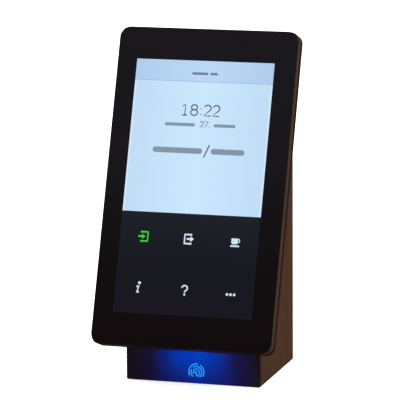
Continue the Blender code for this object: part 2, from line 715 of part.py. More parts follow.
def make_coin_cell():
    """Holder and button cell of the clock."""
    back = BOARD_FRONT + GAP
    width, length, height = CELL_HOLDER
    outline = rounded_rectangle(width, length, 0.002, centre=CELL_PLACE, steps=2)
    holder = plate("cell_holder", [outline], height, UPRIGHT, (0, 0, back + height / 2), CHIP)
    pocket = rod("cell_pocket", CELL + GAP, 0.004, UPRIGHT, (*CELL_PLACE, back + height), sides=28)
    cut(holder, pocket)
    soft = 0.0003
    profile = [(0, 0.0032), (0.85 * CELL, 0.0032), (0.88 * CELL, 0.0028), (CELL - soft, 0.0028),
               (CELL, 0.0025), (CELL, soft), (CELL - soft, 0), (0, 0)]
    turned("coin_cell", profile, UPRIGHT, (*CELL_PLACE, back + 0.0010 + GAP), STEEL, sides=28)


def make_network_jack():
    """Network socket on the lower edge of the mainboard, its mouth facing down."""
    width, length, depth = JACK_SIZE
    back = BOARD_FRONT + GAP
    centre = (JACK_X, BOARD_BOTTOM + length / 2, back + depth / 2)
    jack = box("network_jack", JACK_SIZE, UPRIGHT, centre, STEEL)
    mouth = box("jack_mouth", (JACK_MOUTH[0], 0.032, JACK_MOUTH[1]), UPRIGHT,
                (JACK_X, BOARD_BOTTOM - 0.001, centre[2]))
    latch = box("jack_latch", (0.0050, 0.032, 0.0030), UPRIGHT,
                (JACK_X, BOARD_BOTTOM - 0.001, centre[2] + JACK_MOUTH[1] / 2))
    return cut(jack, mouth, latch)


def make_terminal_block():
    """Four-way screw terminal for power and a door contact, its wire holes facing down."""
    length, depth = TERMINAL_SIZE[1:]
    centre = (TERMINAL_X, BOARD_BOTTOM + length / 2, BOARD_FRONT + GAP + depth / 2)
    block = box("terminal_block", TERMINAL_SIZE, UPRIGHT, centre, GREEN_PLASTIC)
    for index in range(4):
        x = centre[0] + (index - 1.5) * TERMINAL_PITCH
        wire = box(f"wire_hole_{index + 1}", (0.0026, 0.0140, 0.0028), UPRIGHT,
                   (x, BOARD_BOTTOM, centre[2] - 0.001))
        access = rod(f"driver_hole_{index + 1}", 0.0014, 0.0040, UPRIGHT,
                     (x, BOARD_BOTTOM + 0.0090, centre[2] + depth / 2), sides=12)
        cut(block, wire, access)
    return block


def make_speaker():
    """Small round loudspeaker over the sound slots, facing down."""
    profile = [(0, 0.0058), (0.0060, 0.0058), (0.0060, 0.0036), (0.0128, 0.0024), (0.0135, 0.0012),
               (0.0135, 0), (0.0112, 0), (0.0090, 0.0008), (0.0040, 0.0016), (0, 0.0010)]
    place = (SPEAKER_PLACE[0], WALL_PLANE - SPEAKER_PLACE[1], BASE_BOTTOM + WALL + GAP)
    return turned("speaker", profile, None, place, CHIP, sides=28)


def make_switches():
    """Tamper switch with its plunger, and the reset switch with its key."""
    start = COVER_BACK + COVER_THICKNESS + GAP
    body = box("tamper_switch", (0.0110, 0.0090, 0.0060), UPRIGHT,
               (TAMPER_X, TAMPER_HEIGHT, start + 0.0030), CHIP)
    bore = rod("tamper_bore", PLUNGER + GAP, 0.0080, UPRIGHT, (TAMPER_X, TAMPER_HEIGHT, start), sides=16)
    cut(body, bore)
    tip = POST_REACH + GAP
    length = start + 0.0018 - tip
    profile = [(0, length), (PLUNGER, length), (PLUNGER, 0.0005), (0.6 * PLUNGER, 0), (0, 0)]
    turned("tamper_plunger", profile, UPRIGHT, (TAMPER_X, TAMPER_HEIGHT, tip), RED_PLASTIC, sides=16)

    back = BOARD_FRONT + GAP
    box("reset_switch", (0.0060, 0.0036, 0.0060), UPRIGHT,
        (RESET_X, BOARD_BOTTOM + 0.0030, back + 0.0030), CHIP)
    key = [(0, 0.0018), (0.0016, 0.0018), (0.0016, 0.0003), (0.0013, 0), (0, 0)]
    turned("reset_key", key, None, (RESET_X, WALL_PLANE - back - 0.0030, BOARD_BOTTOM - 0.0012),
           RED_PLASTIC, sides=16)


# ---------------------------------------------------------------- wall plate and lock
def seal_outline(inset):
    """Rounded outline on the wall plate's back, drawn in by inset."""
    middle, height = between(BASE_BOTTOM, BASE_TOP)
    return rounded_rectangle(BASE_WIDTH - 2 * inset, height - 2 * inset, 0.008 - inset, centre=(0, middle))


def make_wall_plate():
    """Shallow tray against the wall, with hooks, a tamper post, a notched ear and wall screw holes."""
    middle, height = between(BASE_BOTTOM, BASE_TOP)
    tray = plate("wall_plate", [rectangle(BASE_WIDTH, height, centre=(0, middle))], BACK_DEPTH, UPRIGHT,
                 (0, 0, BACK_DEPTH / 2), BODY_BROWN)
    round_edges(tray, EDGE)
    hollow = box("tray_hollow", (BASE_WIDTH - 2 * WALL, height - 2 * WALL, BACK_DEPTH), UPRIGHT,
                 (0, middle, PLATE_WALL + BACK_DEPTH / 2))
    cable_middle, cable_height = between(CABLE_BOTTOM, CABLE_TOP)
    outline = rounded_rectangle(CABLE_WIDTH, cable_height, 0.003, centre=(0, cable_middle), steps=3)
    cable = plate("cable_opening", [outline], THROUGH, UPRIGHT, (0, 0, 0))
    cut(tray, hollow, cable)

    inside = PLATE_WALL - 0.0010
    hook_outline = [
        (inside, HOOK_SHELF_TOP - HOOK_SHELF),
        (HOOK_REACH, HOOK_SHELF_TOP - HOOK_SHELF),
        (HOOK_REACH, HOOK_SHELF_TOP + HOOK_LIP),
        (HOOK_LIP_BACK, HOOK_SHELF_TOP + HOOK_LIP),
        (HOOK_LIP_BACK, HOOK_SHELF_TOP),
        (inside, HOOK_SHELF_TOP),
    ]
    for index, side in enumerate((-1, 1), 1):
        hook = plate(f"hook_{index}", [hook_outline], HOOK_WIDTH, SIDE, (0, 0, side * HOOK_X))
        join(tray, hook)
    post = rod("tamper_post", 0.0030, POST_REACH - inside, UPRIGHT,
               (TAMPER_X, TAMPER_HEIGHT, (POST_REACH + inside) / 2))
    notch_bottom = LOCK_HEIGHT - LOCK_SHANK - 0.0004
    notch = LOCK_SHANK + 0.0004
    ear_outline = [
        (inside, EAR_BOTTOM),
        (EAR_REACH, EAR_BOTTOM),
        (EAR_REACH, EAR_TOP),
        (LOCK_FORWARD + notch, EAR_TOP),
        (LOCK_FORWARD + notch, notch_bottom),
        (LOCK_FORWARD - notch, notch_bottom),
        (LOCK_FORWARD - notch, EAR_TOP),
        (inside, EAR_TOP),
    ]
    ear = plate("lock_ear", [ear_outline], EAR_THICKNESS, SIDE, (0, 0, EAR_INNER + EAR_THICKNESS / 2))
    join(tray, post, ear)

    for index, (x, height) in enumerate(WALL_HOLES, 1):
        cut(tray, rod(f"wall_hole_{index}", WALL_HOLE, THROUGH, UPRIGHT, (x, height, 0), sides=16))
    cut(tray, plate("seal_groove", [seal_outline(SEAL_INSET), seal_outline(SEAL_INSET + SEAL_WIDTH)],
                    2 * SEAL_DEPTH, UPRIGHT, (0, 0, 0)))
    for name, x, forward in REAR_FEET:
        cut(tray, foot_recess(name, REAR_FOOT, x, forward))
    return shade_round(tray)


def make_lock():
    """Lock screw in the left side wall and the nut behind the wall plate's ear."""
    outside = -BASE_WIDTH / 2
    place = (outside + 0.0003 + 0.0013, WALL_PLANE - LOCK_FORWARD, LOCK_HEIGHT)
    length = -0.0330 - place[0]
    profile = [(0, 0.0013), (LOCK_HEAD - 0.0003, 0.0013), (LOCK_HEAD, 0.0010), (LOCK_HEAD, 0),
               (LOCK_SHANK, 0), (LOCK_SHANK, 0.0005 - length), (0.6 * LOCK_SHANK, -length), (0, -length)]
    key = turned("lock_screw", profile, None, place, STEEL, sides=20, turn=(0, -RIGHT_ANGLE, 0))
    socket = rod("lock_socket", 0.0012, 0.0018, None, (outside, place[1], place[2]), sides=6,
                 turn=(0, RIGHT_ANGLE, 0))
    cut(key, socket)
    nut_middle = -EAR_INNER + GAP + 0.0012
    plate("lock_nut", [polygon(0.0032, 6, centre=(LOCK_FORWARD, LOCK_HEIGHT)),
                       polygon(LOCK_SHANK + GAP, 16, centre=(LOCK_FORWARD, LOCK_HEIGHT))],
          0.0024, SIDE, (0, 0, -nut_middle), BRASS)


make_head()
make_main_housing()
make_reader()
make_rear_cover()
make_mainboard()
make_speaker()
make_switches()
make_wall_plate()
make_lock()
for side_name, foot_x, foot_forward in FRONT_FEET:
    make_foot(f"foot_front_{side_name}", FOOT, foot_x, foot_forward)
for side_name, foot_x, foot_forward in REAR_FEET:
    make_foot(f"foot_rear_{side_name}", REAR_FOOT, foot_x, foot_forward)
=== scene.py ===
"""Looks of the access terminal: a leaning touch display on a wedge base with a lit reader field.

Everything is in metres in the row frame: +Z up, the display faces -Y and leans back, +X is to
the right. Pieces are drawn in one of two flat frames: the head's front or the base's front. Each
is a (origin, across, up, out) group of vectors.
"""

import json
import math

import bmesh
import bpy
from mathutils import Matrix, Vector


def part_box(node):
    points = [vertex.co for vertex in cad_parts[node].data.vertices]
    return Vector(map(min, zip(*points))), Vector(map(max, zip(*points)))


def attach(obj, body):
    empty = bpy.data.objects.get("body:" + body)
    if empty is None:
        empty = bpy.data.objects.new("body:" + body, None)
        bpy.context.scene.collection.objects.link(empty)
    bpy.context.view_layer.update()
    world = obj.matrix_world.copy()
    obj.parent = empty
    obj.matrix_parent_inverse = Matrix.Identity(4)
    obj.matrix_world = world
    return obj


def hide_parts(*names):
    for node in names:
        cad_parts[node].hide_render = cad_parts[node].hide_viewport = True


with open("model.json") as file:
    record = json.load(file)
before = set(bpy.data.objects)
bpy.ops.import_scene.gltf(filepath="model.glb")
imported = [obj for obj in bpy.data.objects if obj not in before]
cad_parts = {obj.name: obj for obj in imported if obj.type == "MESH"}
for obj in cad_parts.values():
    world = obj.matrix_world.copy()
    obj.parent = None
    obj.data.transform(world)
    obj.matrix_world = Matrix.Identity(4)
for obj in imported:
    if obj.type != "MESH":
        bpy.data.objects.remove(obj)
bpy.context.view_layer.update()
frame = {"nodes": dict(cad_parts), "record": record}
NODES = frame["nodes"]

# ---------------------------------------------------------------- frames taken from the CAD
HEAD_TILT = math.radians(20.0)
ACROSS = Vector((1.0, 0.0, 0.0))
ALONG = Vector((0.0, math.sin(HEAD_TILT), math.cos(HEAD_TILT)))
OUT = Vector((0.0, -math.cos(HEAD_TILT), math.sin(HEAD_TILT)))
UP = Vector((0.0, 0.0, 1.0))
FORWARD = Vector((0.0, -1.0, 0.0))


def reach(node, direction):
    """Lowest and highest reach of a CAD node along a direction."""
    values = [vertex.co.dot(direction) for vertex in NODES[node].data.vertices]
    return min(values), max(values)


GLASS_LOW, GLASS_HIGH = reach("cover_glass", ALONG)
GLASS_BACK, GLASS_FRONT = reach("cover_glass", OUT)
HEAD_WIDTH = reach("cover_glass", ACROSS)[1] * 2
HEAD_LENGTH = GLASS_HIGH - GLASS_LOW
GLASS_CORNER = 0.0068
WINDOW_LOW, WINDOW_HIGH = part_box("reader_window")
WINDOW_CORNER = 0.0008
GLASS_SOFT = 0.0002

HEAD = (ALONG * GLASS_LOW + OUT * GLASS_FRONT, ACROSS, ALONG, OUT)
BASE = (Vector((0.0, WINDOW_LOW.y, 0.0)), ACROSS, UP, FORWARD)

MM = 0.001

# lit area of the display and what it shows, in millimetres from the head's middle and its lower edge
SCREEN_LEFT, SCREEN_RIGHT = -43.45, 42.45
SCREEN_BOTTOM, SCREEN_TOP = 19.6, 173.8
HEADER_BOTTOM = 161.0
LIGHT_BOTTOM = 80.9
RULE_LOW, RULE_HIGH = 160.85, 161.25
TITLE_LOW = 165.2
CLOCK_LOW, CLOCK_HEIGHT = 140.4, 6.5
DAY_LOW, DAY_HEIGHT = 133.6, 3.2
DATE_LOW = 133.7
HEADLINE_LOW = 117.2

# middle of the lit mark in the reader window, in millimetres from the base's middle and the ground
READER_MARK = (2.2, 7.0)


# ---------------------------------------------------------------- meshes
def in_frame(flat, point):
    """A point of a flat frame, given as (across, up, out), in the row frame."""
    origin, across, up, out = flat
    return origin + across * point[0] + up * point[1] + out * point[2]


def add_piece(name, mesh, finish, body="terminal", replaces=()):
    """Puts a mesh in the scene as a piece of the object."""
    made = bpy.data.objects.new(name, mesh)
    bpy.context.scene.collection.objects.link(made)
    if finish:
        mesh.materials.append(finish)
    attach(made, body)
    if replaces:
        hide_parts(*replaces)
    return made


def to_mesh(shape, name, smooth=35.0):
    """Finishes a bmesh: outward faces, round sides smooth, real edges sharp."""
    bmesh.ops.remove_doubles(shape, verts=shape.verts, dist=1e-7)
    bmesh.ops.recalc_face_normals(shape, faces=shape.faces)
    mesh = bpy.data.meshes.new(name)
    shape.to_mesh(mesh)
    shape.free()
    mesh.shade_smooth()
    mesh.set_sharp_from_angle(angle=math.radians(smooth))
    return mesh


def rounded(left, right, low, high, radius, steps=6):
    """Points of a rectangle with round corners, counter-clockwise."""
    points = []
    corners = [(right, high, 0), (left, high, 1), (left, low, 2), (right, low, 3)]
    for x, y, corner in corners:
        middle_x = x + (radius if corner in (1, 2) else -radius)
        middle_y = y + (radius if corner in (2, 3) else -radius)
        for step in range(steps + 1):
            angle = (corner + step / steps) * math.pi / 2
            points.append((middle_x + radius * math.cos(angle), middle_y + radius * math.sin(angle)))
    return points


def head_outline(inset, steps=20):
    """The head's rounded outline, drawn in by inset."""
    half = HEAD_WIDTH / 2 - inset
    return rounded(-half, half, inset, HEAD_LENGTH - inset, GLASS_CORNER - inset, steps)


def add_slab(shape, flat, outline, front, back, soft=0.0):
    """Adds a flat block to a bmesh. Its front rim is softened when soft is given."""
    loop = [shape.verts.new(in_frame(flat, (x, y, front))) for x, y in outline]
    face = shape.faces.new(loop)
    grown = bmesh.ops.extrude_face_region(shape, geom=[face])
    moved = [item for item in grown["geom"] if isinstance(item, bmesh.types.BMVert)]
    bmesh.ops.translate(shape, verts=moved, vec=flat[3] * (back - front))
    if soft:
        rim = [edge for edge in shape.edges if all(vertex in loop for vertex in edge.verts)]
        bmesh.ops.bevel(shape, geom=rim, offset=soft, segments=2, affect="EDGES", profile=0.5)


def add_stroke(shape, flat, points, width, height, closed=False):
    """Adds a flattened round bead along a line of points in a flat frame."""
    curve = bpy.data.curves.new("stroke", "CURVE")
    curve.dimensions = "3D"
    curve.bevel_depth = width / 2
    curve.bevel_resolution = 3
    curve.use_fill_caps = True
    spline = curve.splines.new("POLY")
    spline.points.add(len(points) - 1)
    for point, (x, y) in zip(spline.points, points):
        point.co = (x, y, 0.0, 1.0)
    spline.use_cyclic_u = closed
    drawing = bpy.data.objects.new("stroke", curve)
    bpy.context.scene.collection.objects.link(drawing)
    mesh = bpy.data.meshes.new_from_object(drawing.evaluated_get(bpy.context.evaluated_depsgraph_get()))
    for vertex in mesh.vertices:
        x, y, z = vertex.co
        vertex.co = in_frame(flat, (x, y, z * 2 * height / width))
    shape.from_mesh(mesh)
    bpy.data.objects.remove(drawing)
    bpy.data.curves.remove(curve)
    bpy.data.meshes.remove(mesh)


def circle(x, y, radius, sides=24):
    """Points of a circle, counter-clockwise."""
    turns = [2 * math.pi * side / sides for side in range(sides)]
    return [(x + radius * math.cos(turn), y + radius * math.sin(turn)) for turn in turns]


def arc(x, y, across, up, start, end, steps=14):
    """Points of an elliptic arc between two angles in degrees."""
    turns = [math.radians(start + (end - start) * step / steps) for step in range(steps + 1)]
    return [(x + across * math.cos(turn), y + up * math.sin(turn)) for turn in turns]


def scaled(points):
    """Millimetres to metres."""
    return [(x * MM, y * MM) for x, y in points]


# ---------------------------------------------------------------- materials
BLACK = (0.0, 0.0, 0.0)
DISPLAY_GLOSS = 0.12
BODY_GLOSS = 0.08
READER_GLOSS = 0.05
METAL_AND_PLASTIC_GRAIN = 4000
BODY_GRAIN = 2600
DISPLAY_GRAIN = 2400


def linear(*colour):
    """Linear light of a display colour given as 0 to 255."""
    values = (channel / 255 for channel in colour)
    return tuple(v / 12.92 if v <= 0.04045 else ((v + 0.055) / 1.055) ** 2.4 for v in values)


class Finish:
    """A material being put together from nodes."""

    def __init__(self, name):
        self.material = bpy.data.materials.new(name)
        self.material.use_nodes = True
        self.tree = self.material.node_tree
        self.shader = self.tree.nodes["Principled BSDF"]
        self.place = self.tree.nodes.new("ShaderNodeTexCoord")

    def constants(self, **values):
        """Sets the shader's own numbers and colours."""
        for socket, value in values.items():
            name = socket.replace("_", " ")
            self.shader.inputs[name].default_value = (*value, 1.0) if isinstance(value, tuple) else value

    def link(self, source, target):
        self.tree.links.new(source, target)

    def noise(self, scale, detail=3.0, stretch=None):
        """A noise value over the surface, stretched along an axis if asked."""
        node = self.tree.nodes.new("ShaderNodeTexNoise")
        node.inputs["Scale"].default_value = scale
        node.inputs["Detail"].default_value = detail
        source = self.place.outputs["Object"]
        if stretch:
            mapping = self.tree.nodes.new("ShaderNodeMapping")
            mapping.inputs["Scale"].default_value = stretch
            self.link(source, mapping.inputs["Vector"])
            source = mapping.outputs["Vector"]
        self.link(source, node.inputs["Vector"])
        return node.outputs["Fac"]

    def spread(self, value, low, high, start=0.3, end=0.7):
        """Spreads a value between two numbers."""
        node = self.tree.nodes.new("ShaderNodeMapRange")
        for socket, number in (("From Min", start), ("From Max", end), ("To Min", low), ("To Max", high)):
            node.inputs[socket].default_value = number
        self.link(value, node.inputs["Value"])
        return node.outputs["Result"]

    def ramp(self, value, *stops):
        """Turns a value into colours given as (position, colour)."""
        node = self.tree.nodes.new("ShaderNodeValToRGB")
        band = node.color_ramp
        band.interpolation = "LINEAR"
        while len(band.elements) < len(stops):
            band.elements.new(0.5)
        for element, (position, colour) in zip(band.elements, stops):
            element.position = position
            element.color = (*colour, 1.0)
        self.link(value, node.inputs["Fac"])
        return node.outputs["Color"]

    def math(self, operation, first, second):
        """One step of arithmetic on values or numbers."""
        node = self.tree.nodes.new("ShaderNodeMath")
        node.operation = operation
        for socket, value in zip(node.inputs, (first, second)):
            if isinstance(value, (int, float)):
                socket.default_value = value
            else:
                self.link(value, socket)
        return node.outputs["Value"]

    def mix(self, kind, factor, first, second):
        """Mixes two colours."""
        node = self.tree.nodes.new("ShaderNodeMix")
        node.data_type = "RGBA"
        node.blend_type = kind
        for socket, value in ((node.inputs[0], factor), (node.inputs[6], first), (node.inputs[7], second)):
            if isinstance(value, tuple):
                socket.default_value = (*value, 1.0)
            elif isinstance(value, (int, float)):
                socket.default_value = value
            else:
                self.link(value, socket)
        return node.outputs[2]

    def axis(self, name, space="Object"):
        """One coordinate of the surface's place."""
        node = self.tree.nodes.new("ShaderNodeSeparateXYZ")
        self.link(self.place.outputs[space], node.inputs["Vector"])
        return node.outputs[name]

    def colour(self, value):
        self.link(value, self.shader.inputs["Base Color"])

    def rough(self, value):
        self.link(value, self.shader.inputs["Roughness"])

    def glow(self, value, strength=1.0):
        self.link(value, self.shader.inputs["Emission Color"])
        self.shader.inputs["Emission Strength"].default_value = strength

    def bump(self, value, distance, strength=1.0):
        """Fine relief from a value."""
        node = self.tree.nodes.new("ShaderNodeBump")
        node.inputs["Strength"].default_value = strength
        node.inputs["Distance"].default_value = distance
        self.link(value, node.inputs["Height"])
        self.link(node.outputs["Normal"], self.shader.inputs["Normal"])


def shade(colour, factor):
    """A colour made lighter or darker."""
    return tuple(channel * factor for channel in colour)


def plain_finish(name, colour, rough, patch=400, change=0.12, relief=0.00001, stretch=None, **constants):
    """A surface with soft colour patches, uneven gloss and a fine grain."""
    made = Finish(name)
    made.constants(**constants)
    patches = made.noise(patch, stretch=stretch)
    made.colour(made.ramp(patches, (0.3, shade(colour, 1 - change)), (0.7, shade(colour, 1 + change))))
    made.rough(made.spread(made.noise(patch * 2.3, stretch=stretch), rough * 0.85, rough * 1.15))
    if relief:
        made.bump(made.noise(METAL_AND_PLASTIC_GRAIN, detail=2.0, stretch=stretch), relief)
    return made.material


BODY_COLOUR = (0.0840, 0.0372, 0.0160)
SHELL_SHADE = 0.42


def body_finish(name, colour):
    """Moulded plastic with a spark-eroded grain, faint scuffs and a satin sheen."""
    made = Finish(name)
    made.constants(Specular_IOR_Level=BODY_GLOSS)
    clouds = made.ramp(made.noise(45, detail=4.0), (0.25, shade(colour, 0.95)), (0.75, shade(colour, 1.05)))
    flecks = made.ramp(made.noise(BODY_GRAIN, detail=2.0), (0.35, (0.90,) * 3), (0.65, (1.10,) * 3))
    made.colour(made.mix("MULTIPLY", 1.0, clouds, flecks))
    scuffs = made.noise(160, detail=5.0)
    made.rough(made.spread(scuffs, 0.48, 0.56))
    made.bump(made.noise(BODY_GRAIN, detail=2.0), 0.000018)
    return made.material


def glass_finish():
    """Black printed glass with a painted reflection that makes it a little lighter towards its upper edge,
    and faint wipe marks.
    """
    made = Finish("terminal_black_glass")
    made.constants(Specular_IOR_Level=DISPLAY_GLOSS)
    height = made.axis("Z", "Generated")
    # painted reflection: the glass's colour ramps from a dark reddish black at the bottom to a lighter grey
    # at the top
    painted_reflection = made.ramp(height, (0.0, linear(14, 6, 8)), (0.25, linear(15, 9, 11)), (0.6, linear(22, 20, 25)),
                     (1.0, linear(23, 21, 25)))
    marks = made.ramp(made.noise(30, detail=4.0), (0.3, (0.93,) * 3), (0.7, (1.07,) * 3))
    made.colour(made.mix("MULTIPLY", 1.0, painted_reflection, marks))
    made.rough(made.spread(made.noise(55, detail=5.0), 0.05, 0.11))
    return made.material


def screen_finish(name, middle, side, edge=None):
    """A lit part of the display: brightest in the middle, with a fine grain."""
    made = Finish(name)
    made.constants(Specular_IOR_Level=DISPLAY_GLOSS, Base_Color=BLACK)
    across = made.axis("X", "Generated")
    inward = made.math("MINIMUM", across, made.math("SUBTRACT", 1.0, across))
    stops = [(0.0, edge), (0.006, edge), (0.016, side)] if edge else [(0.0, side)]
    lit = made.ramp(inward, *stops, (0.5, middle))
    grain = made.ramp(made.noise(DISPLAY_GRAIN, detail=1.0), (0.3, (0.99,) * 3), (0.7, (1.01,) * 3))
    made.glow(made.mix("MULTIPLY", 1.0, lit, grain))
    made.rough(made.spread(made.noise(55, detail=4.0), 0.05, 0.10))
    return made.material


def dark_field_finish():
    """The unlit part of the display, a little lighter towards its upper edge."""
    made = Finish("display_field_dark")
    made.constants(Specular_IOR_Level=DISPLAY_GLOSS, Base_Color=BLACK)
    lit = made.ramp(made.axis("Z", "Generated"), (0.0, linear(23, 21, 30)), (0.5, linear(21, 22, 31)),
                    (1.0, linear(28, 31, 38)))
    grain = made.ramp(made.noise(DISPLAY_GRAIN, detail=1.0), (0.3, (0.97,) * 3), (0.7, (1.03,) * 3))
    made.glow(made.mix("MULTIPLY", 1.0, lit, grain))
    made.rough(made.spread(made.noise(55, detail=4.0), 0.05, 0.10))
    return made.material


def mark_finish(name, colour, change=0.04):
    """A drawn mark on the display, with its own light."""
    made = Finish(name)
    made.constants(Specular_IOR_Level=DISPLAY_GLOSS, Base_Color=BLACK)
    made.glow(made.ramp(made.noise(700), (0.3, shade(colour, 1 - change)), (0.7, shade(colour, 1 + change))))
    made.rough(made.spread(made.noise(55), 0.06, 0.10))
    return made.material


# painted light across the reader window, in millimetres from its middle: under the head's chin and low down
READER_TOP_PAINTED_LIGHT = (
    (-40, (19, 13, 18)), (-26, (22, 15, 52)), (-17, (11, 34, 124)), (-9, (0, 55, 176)),
    (4, (0, 61, 195)), (16, (4, 48, 153)), (26, (25, 20, 76)), (40, (23, 15, 21)),
)
READER_LOW_PAINTED_LIGHT = (
    (-40, (19, 14, 18)), (-26, (20, 15, 43)), (-10, (16, 28, 105)), (4, (9, 37, 133)),
    (22, (21, 24, 92)), (31, (23, 18, 62)), (40, (25, 20, 24)),
)

# heights between which the upper painted light fades into the lower one
FADE_TOP, FADE_BOTTOM = 0.0175, 0.0015


def reader_finish():
    """Smoked window with the light of blue lamps behind its upper edge painted in as its own glow, fading to
    violet lower down and outwards.
    """
    made = Finish("terminal_reader_window")
    made.constants(Specular_IOR_Level=READER_GLOSS, Base_Color=(0.0015, 0.001, 0.0015))
    width = WINDOW_HIGH.x - WINDOW_LOW.x
    across = made.spread(made.axis("X"), 0.0, 1.0, -width / 2, width / 2)
    # painted light: the lamps' pool of blue light is given to the window as emission, brightest under the
    # chin
    rows = [made.ramp(across, *((0.5 + x * MM / width, linear(*colour)) for x, colour in light))
            for light in (READER_TOP_PAINTED_LIGHT, READER_LOW_PAINTED_LIGHT)]
    down = made.spread(made.axis("Z"), 0.0, 1.0, FADE_TOP, FADE_BOTTOM)
    lit = made.mix("MIX", down, *rows)
    specks = made.ramp(made.noise(600, detail=2.0), (0.3, (0.97,) * 3), (0.7, (1.03,) * 3))
    made.glow(made.mix("MULTIPLY", 1.0, lit, specks))
    made.rough(made.spread(made.noise(60, detail=4.0), 0.14, 0.24))
    return made.material


def board_finish(name, colour):
    """Solder mask with faint copper tracks under it."""
    made = Finish(name)
    made.constants(Specular_IOR_Level=0.5)
    tracks = made.tree.nodes.new("ShaderNodeTexBrick")
    tracks.inputs["Scale"].default_value = 160.0
    tracks.inputs["Mortar Size"].default_value = 0.03
    tracks.inputs["Color1"].default_value = (*shade(colour, 0.9), 1.0)
    tracks.inputs["Color2"].default_value = (*shade(colour, 1.1), 1.0)
    tracks.inputs["Mortar"].default_value = (*shade(colour, 1.9), 1.0)
    mapping = made.tree.nodes.new("ShaderNodeMapping")
    mapping.inputs["Rotation"].default_value = (math.pi / 2, 0.0, 0.0)
    made.link(made.place.outputs["Object"], mapping.inputs["Vector"])
    made.link(mapping.outputs["Vector"], tracks.inputs["Vector"])
    made.colour(tracks.outputs["Color"])
    made.rough(made.spread(made.noise(300), 0.30, 0.45))
    made.bump(tracks.outputs["Fac"], 0.00003, 0.6)
    return made.material


BODY = body_finish("terminal_body_brown", BODY_COLOUR)
SHELL_DARK = body_finish("terminal_shell_dark", shade(BODY_COLOUR, SHELL_SHADE))
GLASS = glass_finish()
WINDOW = reader_finish()
RUBBER = plain_finish("terminal_rubber", (0.012, 0.012, 0.012), 0.80, patch=300, change=0.2, relief=0.00003)
STEEL = plain_finish("terminal_steel", (0.52, 0.52, 0.53), 0.34, patch=120, change=0.08, relief=0.000004,
                     stretch=(1.0, 1.0, 0.08), Metallic=1.0)
SCREW_STEEL = plain_finish("terminal_screw_steel", (0.46, 0.46, 0.47), 0.30, patch=1500, change=0.12,
                           relief=0.000006, Metallic=1.0)
BRASS = plain_finish("terminal_brass", (0.58, 0.40, 0.15), 0.30, patch=900, relief=0.000005, Metallic=1.0)
COPPER = plain_finish("terminal_copper", (0.58, 0.27, 0.13), 0.34, patch=900, relief=0.000005, Metallic=1.0)
ALUMINIUM = plain_finish("terminal_aluminium", (0.56, 0.57, 0.58), 0.38, patch=500, change=0.06,
                         relief=0.000006, stretch=(0.1, 1.0, 1.0), Metallic=1.0)
CHIP = plain_finish("terminal_chip_black", (0.018, 0.018, 0.019), 0.50, patch=500, change=0.15,
                    relief=0.00002)
GUIDE = plain_finish("terminal_clear_guide", (0.50, 0.60, 0.80), 0.18, patch=200, change=0.05, relief=0,
                     Transmission_Weight=0.6)
PANEL = plain_finish("terminal_panel_grey", (0.08, 0.09, 0.11), 0.22, patch=200, change=0.08, relief=0)
RIBBON = plain_finish("terminal_ribbon", (0.42, 0.22, 0.05), 0.38, patch=300, change=0.15, relief=0.00001,
                      stretch=(8.0, 0.5, 0.5))
GREEN = plain_finish("terminal_green_plastic", (0.03, 0.20, 0.06), 0.45, patch=500)
RED = plain_finish("terminal_red_plastic", (0.42, 0.03, 0.02), 0.45, patch=900)
CIRCUIT = board_finish("terminal_circuit_board", (0.015, 0.085, 0.035))
BLUE = mark_finish("terminal_blue_light", (0.01, 0.10, 0.90), 0.10)

FINISHES = {
    "black_glass": GLASS, "body_brown": BODY, "shell_dark": SHELL_DARK,
    "smoked_window": WINDOW, "clear_guide": GUIDE,
    "blue_light": BLUE, "lcd_grey": PANEL,
    "circuit_board": CIRCUIT, "chip_black": CHIP, "steel": STEEL,
    "brass": BRASS, "copper": COPPER, "aluminium": ALUMINIUM, "rubber": RUBBER, "ribbon_film": RIBBON,
    "green_plastic": GREEN, "red_plastic": RED,
}
for subpart in frame["record"]["subparts"]:
    for slot in NODES[subpart["node"]].material_slots:
        slot.material = FINISHES[subpart["material_slot"]]
for name, node in NODES.items():
    if "screw" in name:
        for slot in node.material_slots:
            slot.material = SCREW_STEEL

# ---------------------------------------------------------------- cover glass and display
# depths behind the glass's front face
DISPLAY_SINK = 0.00002
DISPLAY_BACK = 0.0008


def make_glass():
    """Black printed border of the cover glass, with the lit area left open."""
    outer = head_outline(0.0)
    lit = [SCREEN_LEFT * MM, SCREEN_RIGHT * MM, SCREEN_BOTTOM * MM, SCREEN_TOP * MM]
    inner = rounded(*lit, 0.0002, 20)
    back = GLASS_BACK - GLASS_FRONT
    rims = [(outer, back), (outer, -GLASS_SOFT)]
    for step in (1, 2, 3):
        turn = step / 3 * math.pi / 2
        rims.append((head_outline(GLASS_SOFT * (1 - math.cos(turn))), GLASS_SOFT * (math.sin(turn) - 1)))
    rims += [(inner, 0.0), (inner, back)]
    shape = bmesh.new()
    loops = [[shape.verts.new(in_frame(HEAD, (x, y, depth))) for x, y in line] for line, depth in rims]
    for first, second in zip(loops, loops[1:] + loops[:1]):
        count = len(first)
        for index in range(count):
            after = (index + 1) % count
            shape.faces.new((first[index], first[after], second[after], second[index]))
    add_piece("front_glass", to_mesh(shape, "front_glass"), GLASS,
              replaces=("cover_glass",))


def across_screen(low, high):
    """Outline of a stretch of the display over its whole width."""
    return [(SCREEN_LEFT, low), (SCREEN_RIGHT, low), (SCREEN_RIGHT, high), (SCREEN_LEFT, high)]


def make_field(name, low, high, finish):
    """One flat lit field of the display."""
    shape = bmesh.new()
    add_slab(shape, HEAD, scaled(across_screen(low, high)), -DISPLAY_SINK, -DISPLAY_BACK)
    add_piece(name, to_mesh(shape, name), finish)


# marks stand a hair in front of their field; strokes are beads of this thickness
MARK_FRONT = 0.00001
MARK_BACK = -0.00006
STROKE_THICKNESS = 0.00004


def make_marks(name, finish, shapes=(), lines=(), width=1.0, flat=HEAD):
    """Flat marks and strokes, in millimetres, drawn on a flat frame."""
    shape = bmesh.new()
    for outline in shapes:
        add_slab(shape, flat, scaled(outline), MARK_FRONT, MARK_BACK)
    for line in lines:
        add_stroke(shape, flat, scaled(line), width * MM, STROKE_THICKNESS)
    add_piece(name, to_mesh(shape, name), finish)


